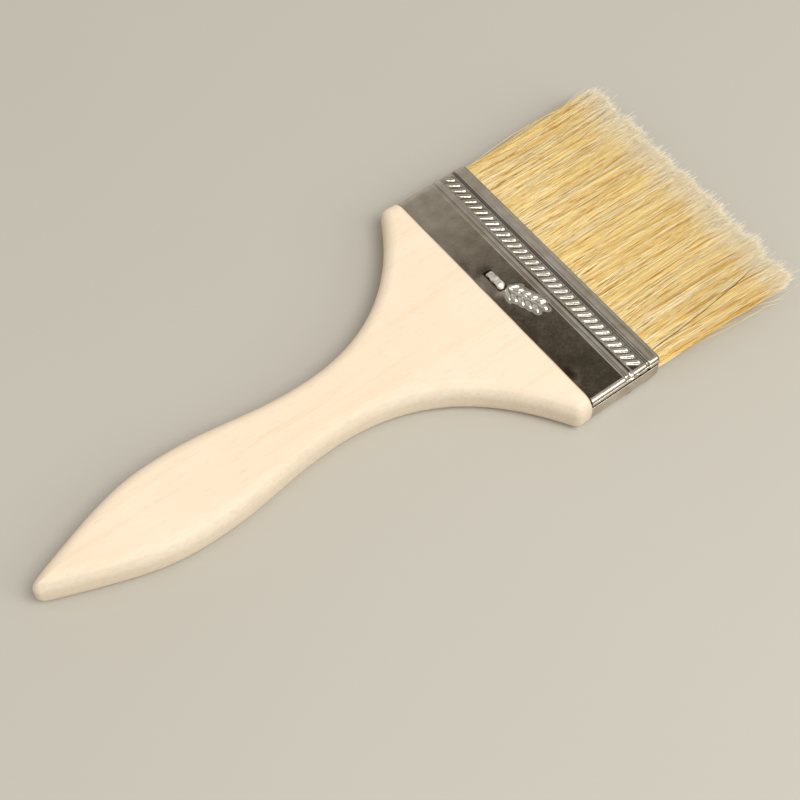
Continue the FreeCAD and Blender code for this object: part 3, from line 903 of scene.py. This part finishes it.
def make_staple(name, node, up):
    """A hammered wire staple: a lumpy flattened bar swept up one leg, over the crown and down the other."""
    low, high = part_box(node)
    half_wire = (high.x - low.x) / 2
    crown = (high.z if up > 0 else low.z) + up * (STAPLE_RISE[up] - STAPLE_THICK)
    foot = low.z if up > 0 else high.z
    middle_x = (low.x + high.x) / 2
    section = np.linspace(0, 2 * math.pi, 21)[:-1]
    rings = []
    for y, z, out_y, out_z in staple_path(low.y, high.y, foot, crown):
        lump = noise.noise(Vector((y * 700, up * 3.1, 0.4)))
        sway = noise.noise(Vector((y * 300, up * 7.7, 2.4))) * 0.14 * MM
        for turn in section:
            wide = math.cos(turn) * half_wire * (1.15 + 0.5 * lump)
            deep = math.sin(turn) * STAPLE_THICK * (1 + 0.7 * lump * STAPLE_LUMPS[up])
            deep += noise.noise(Vector((wide * 1300, y * 900, up * 5.0))) * 0.22 * MM * STAPLE_LUMPS[up]
            rings.append((middle_x + wide + sway, y + out_y * deep, z + out_z * deep))
    faces = tube_faces(len(rings) // len(section), len(section))
    if up < 0:
        faces = [face[::-1] for face in faces]
    piece = new_piece(name, rings, faces, STEEL)
    sharpen(piece, 60)
    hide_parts(node)
    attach(piece, "grip")


# ---------------------------------------------------------------- bristles

PIECES_PER_ROW = 4
STRANDS_PER_PIECE = 4100
STRAND_RADIUS = 0.068 * MM
FREE_LENGTH = TIP_X - LIP_X
SHARES = (0.0, 0.09, 0.22, 0.42, 0.66, 0.86, 1.0)
THICKNESS = (1.0, 1.0, 0.98, 0.95, 0.90, 0.78, 0.42)
ROOT_LOW, ROOT_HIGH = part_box("bristle_roots_front")
SPACER_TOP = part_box("spacer_strip")[1].z
PACK_HALF_WIDTH = FERRULE_HALF_WIDTH - TINPLATE - 0.30 * MM
PACK_HALF_HEIGHT = FERRULE_HALF_THICKNESS - TINPLATE - 0.16 * MM
PACK_CORNER = 1.7 * MM


def spread(random, count, y_size, z_size):
    return random.normal(0, 1, (count, 2)) * [y_size, z_size]


def nearest(places, centres, stretch):
    """For each hair, the number of the nearest centre; stretch weighs heights against widths."""
    best = np.zeros(len(places), int)
    least = np.full(len(places), np.inf)
    for number, centre in enumerate(centres):
        away = (places[:, 0] - centre[0]) ** 2 + stretch * (places[:, 1] - centre[1]) ** 2
        closer = away < least
        best[closer], least[closer] = number, away[closer]
    return best


class Row:
    """All the hairs of the front (up = 1) or the back (up = -1) of the brush.

    Hairs stand in wisps, wisps in locks and locks in tufts. Each leans its own way and draws together at
    its tip, so thin partings open between them, and a few deeper partings start at the ferrule's lip.
    """

    LOCKS = 34
    TUFTS = 14
    WISPS = 520
    PARTINGS = 44
    STRAY_SHARE = 0.07
    LONG_SHARE = 0.16

    def __init__(self, up, seed):
        self.up = up
        self.count = STRANDS_PER_PIECE * PIECES_PER_ROW
        self.random = np.random.default_rng(seed)
        self.place_roots()
        self.lean_locks()
        self.cut_lengths()
        self.open_partings()
        self.pick_out_one_dark_hair()

    def place_roots(self):
        y = np.sort(self.random.uniform(-1, 1, self.count)) * PACK_HALF_WIDTH
        over = np.clip(np.abs(y) - (PACK_HALF_WIDTH - PACK_CORNER), 0, PACK_CORNER)
        room = PACK_HALF_HEIGHT - PACK_CORNER + np.sqrt(PACK_CORNER**2 - over**2)
        self.depth = self.random.uniform(0, 1, self.count) ** 0.8
        self.lip = np.column_stack([y, self.depth * room])
        core = SPACER_TOP - MID_Z + STRAND_RADIUS
        root_y = y * (ROOT_HIGH.y - 0.1 * MM) / PACK_HALF_WIDTH
        root_z = core + self.depth * (ROOT_HIGH.z - MID_Z - core - 0.1 * MM) * room / PACK_HALF_HEIGHT
        self.root = np.column_stack([root_y, root_z])

    def scatter(self, count):
        places = self.random.uniform(0, 1, (count, 2))
        return (places * [2, 1] - [1, 0]) * [PACK_HALF_WIDTH, PACK_HALF_HEIGHT]

    def lean_locks(self):
        random, lip = self.random, self.lip
        tufts, locks, wisps = self.scatter(self.TUFTS), self.scatter(self.LOCKS), self.scatter(self.WISPS)
        in_tuft = nearest(lip, tufts, 1.0)
        in_lock = nearest(lip, locks, 0.4)
        in_wisp = nearest(lip, wisps, 1.5)
        lean = lip * [0.02, -0.20]
        lean += spread(random, self.TUFTS, 0.8 * MM, 0.12 * MM)[in_tuft]
        lean += spread(random, self.LOCKS, 0.8 * MM, 0.2 * MM)[in_lock]
        lean += spread(random, self.WISPS, 1.2 * MM, 0.22 * MM)[in_wisp]
        lean += spread(random, self.count, 0.9 * MM, 0.16 * MM)
        stray = (random.uniform(0, 1, self.count) < self.STRAY_SHARE)[:, None]
        lean += stray * spread(random, self.count, 2.4 * MM, 0.5 * MM)
        tip = lip + lean
        beyond = np.maximum(np.abs(tip[:, 0]) - PACK_HALF_WIDTH, 0)
        lean[:, 0] -= np.sign(tip[:, 0]) * beyond * 0.55
        lean[:, 0] -= smooth_step(0.6, 1.0, lip[:, 0] / PACK_HALF_WIDTH) * 1.5 * MM
        above = np.maximum(tip[:, 1] - PACK_HALF_HEIGHT * 0.95, 0)
        lean[:, 1] -= above * 0.6
        to_lock = (locks * [1.04, 0.75])[in_lock] - lip - lean
        to_wisp = (wisps * [1.04, 0.80])[in_wisp] - lip - lean
        self.lean = lean
        self.gather = (to_lock * [0.22, 0.10] + to_wisp * [0.50, 0.4]) * (1 - stray)
        self.bow = spread(random, self.count, 0.22 * MM, 0.08 * MM) * (1 + 2.5 * stray)
        self.flick = spread(random, self.count, 0.35 * MM, 0.25 * MM)
        self.flick += spread(random, self.WISPS, 0.35 * MM, 0.15 * MM)[in_wisp]
        self.lock_offset = (lip[:, 0] - locks[in_lock, 0]) / MM
        self.in_lock, self.in_wisp = in_lock, in_wisp

    def cut_lengths(self):
        """Few hairs reach the full length, so the tips end in a soft fringe."""
        random = self.random
        short = random.gamma(3.0, 0.85 * MM, self.count)
        short += random.uniform(0, 1.0 * MM, self.LOCKS)[self.in_lock]
        short += random.uniform(0, 1.3 * MM, self.WISPS)[self.in_wisp]
        short += np.minimum(self.lock_offset**2 * 0.35, 1.2) * MM
        extra = random.uniform(0, 1.9 * MM, self.count)
        short -= extra * (random.uniform(0, 1, self.count) < self.LONG_SHARE)
        slant = self.lip[:, 0] / PACK_HALF_WIDTH * 0.9 * MM
        self.length = FREE_LENGTH + 1.2 * MM + slant - np.minimum(short, 12 * MM)
        # Painted shade: hairs deeper in the pack get lower lanes, darker and more orange; only hairs near
        # the top reach the cream lanes.
        shallow = smooth_step(0.30, 0.85, self.depth)
        self.lane = random.uniform(0.03, 1, self.count) * (0.38 + 0.62 * shallow)

    def open_partings(self):
        """Each parting is a line y = place + slope * s; near it the upper hairs are pushed aside."""
        random = self.random
        self.partings = []
        for _ in range(self.PARTINGS):
            place = random.uniform(-0.98, 0.98) * PACK_HALF_WIDTH
            slope = random.normal(0, 1.2 * MM)
            start = random.choice([0.0, 0.0, 0.2, 0.35])
            reach = start + random.uniform(0.12, 0.4)
            self.partings.append((place, slope, start, reach, random.uniform(0.10, 0.26) * MM))

    def pick_out_one_dark_hair(self):
        """On the front, one dark hair bows over the others near the -Y edge with a pale one beside it."""
        if self.up < 0:
            return
        top = np.where(self.depth > 0.96)[0]
        wanted = np.array([-29.5, -29.1]) * MM
        for place, lane, bow in zip(wanted, (0.0, 0.99), (-0.75, -0.45)):
            hair = top[np.abs(self.lip[top, 0] - place).argmin()]
            top = top[top != hair]
            self.lane[hair] = lane
            self.lip[hair] = (place, PACK_HALF_HEIGHT)
            self.lean[hair] = (2.9 * MM, 0.3 * MM)
            self.bow[hair] = (bow * MM, 0.7 * MM)
            self.gather[hair] = 0
            self.flick[hair] = (0.5 * MM, 0.2 * MM)
            self.length[hair] = FREE_LENGTH - 3.5 * MM

    def centres(self, s):
        """The centre of every hair at the share s of its free length."""
        flat = self.lip + self.lean * s + self.gather * s**2.6
        flat += self.bow * math.sin(math.pi * s) + self.flick * s**4
        upper = smooth_step(0.25, 0.7, self.depth)
        for place, slope, start, reach, push in self.partings:
            away = flat[:, 0] - (place + slope * s)
            opening = smooth_step(start, start + 0.07, s) * (1 - smooth_step(reach * 0.6, reach, s))
            if opening > 0:
                flat[:, 0] += np.sign(away) * push * opening * upper * np.exp(-((away / (0.7 * MM)) ** 2))
        height = np.maximum(MID_Z + flat[:, 1] * self.up, 0.16 * MM)
        return np.column_stack([LIP_X + self.length * s, flat[:, 0], height])

    def anchored(self, x):
        return np.column_stack([np.full(self.count, x), self.root[:, 0], MID_Z + self.root[:, 1] * self.up])

    def stations(self):
        """Rows of centres from the anchored end to the tip, each with its share of length and thickness."""
        yield self.anchored(ROOT_LOW.x + 0.02 * MM), 0.0, 0.9
        yield self.anchored(ROOT_HIGH.x), 0.0, 0.9
        for s, thick in zip(SHARES, THICKNESS):
            yield self.centres(s), s, thick


def make_bristle_row(half, up, seed):
    row = Row(up, seed)
    stations = list(row.stations())
    radius = STRAND_RADIUS * row.random.uniform(0.75, 1.25, row.count)
    turns = row.random.uniform(0, 2 * math.pi, row.count)[:, None] + np.arange(3) * 2 * math.pi / 3
    for number in range(PIECES_PER_ROW):
        part = slice(number * STRANDS_PER_PIECE, (number + 1) * STRANDS_PER_PIECE)
        piece = bristle_piece(f"bristle_{half}_{number + 1}", stations, part, radius, turns, row.lane)
        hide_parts(f"bristles_{half}", f"bristle_roots_{half}")
        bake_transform(piece)


def bristle_piece(name, stations, part, radius, turns, lanes):
    """A mesh of three-sided tapering hairs, with a map that gives each hair a lane of its own."""
    corners, count = 3, STRANDS_PER_PIECE
    points, shares = [], []
    for centres, s, thick in stations:
        ring = np.repeat(centres[part, None, :], corners, axis=1)
        ring[:, :, 1] += np.cos(turns[part]) * radius[part, None] * thick
        ring[:, :, 2] += np.sin(turns[part]) * radius[part, None] * thick
        points.append(ring.reshape(-1, 3))
        shares.append(np.full(count * corners, s))
    level = count * corners
    base = np.arange(level).reshape(count, corners)
    following = np.roll(base, -1, axis=1)
    quads = np.stack([base, following, following + level, base + level], axis=2).reshape(-1, 4)
    faces = np.concatenate([quads + level * number for number in range(len(stations) - 1)])
    piece = mesh_from_quads(name, np.concatenate(points), faces, BRISTLE)
    lane = np.tile(np.repeat(lanes[part], corners), len(stations))
    chart = np.column_stack([np.concatenate(shares), lane])[faces.ravel()]
    layer = piece.data.uv_layers.new(name=STRAND_MAP)
    layer.data.foreach_set("uv", chart.astype(np.float32).ravel())
    return piece


def mesh_from_quads(name, points, faces, material):
    mesh = bpy.data.meshes.new(name)
    mesh.vertices.add(len(points))
    mesh.vertices.foreach_set("co", points.astype(np.float32).ravel())
    mesh.loops.add(faces.size)
    mesh.loops.foreach_set("vertex_index", faces.astype(np.int32).ravel())
    mesh.polygons.add(len(faces))
    mesh.polygons.foreach_set("loop_start", np.arange(len(faces), dtype=np.int32) * 4)
    mesh.polygons.foreach_set("use_smooth", [True] * len(faces))
    mesh.update(calc_edges=True)
    mesh.materials.append(material)
    piece = bpy.data.objects.new(name, mesh)
    bpy.context.scene.collection.objects.link(piece)
    return piece


# ---------------------------------------------------------------- inner pieces


def finish_inner_nodes():
    """The two pieces hidden in the ferrule keep their frame shapes and get their own materials."""
    resin = resin_material()
    spacer = wood_material("spacer_wood", (0.72, 0.56, 0.36), (0.62, 0.45, 0.27), (0.8, 0.68, 0.5))
    for node, material in (("setting_resin", resin), ("spacer_strip", spacer)):
        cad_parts[node].material_slots[0].material = material


bpy.context.scene.view_settings.view_transform = "Standard"
make_camera()
make_world()
make_lights()
make_floor()
WOOD = wood_material("handle_wood", (0.885, 0.745, 0.575), (0.85, 0.69, 0.505), (0.93, 0.86, 0.76))
TIN = tinplate_material()
STEEL = steel_material()
BRISTLE = bristle_material()
make_handle()
make_ferrule()
make_staple("front_staple", "staple_front", 1)
make_staple("back_staple", "staple_back", -1)
make_bristle_row("front", 1, 21)
make_bristle_row("back", -1, 22)
finish_inner_nodes()
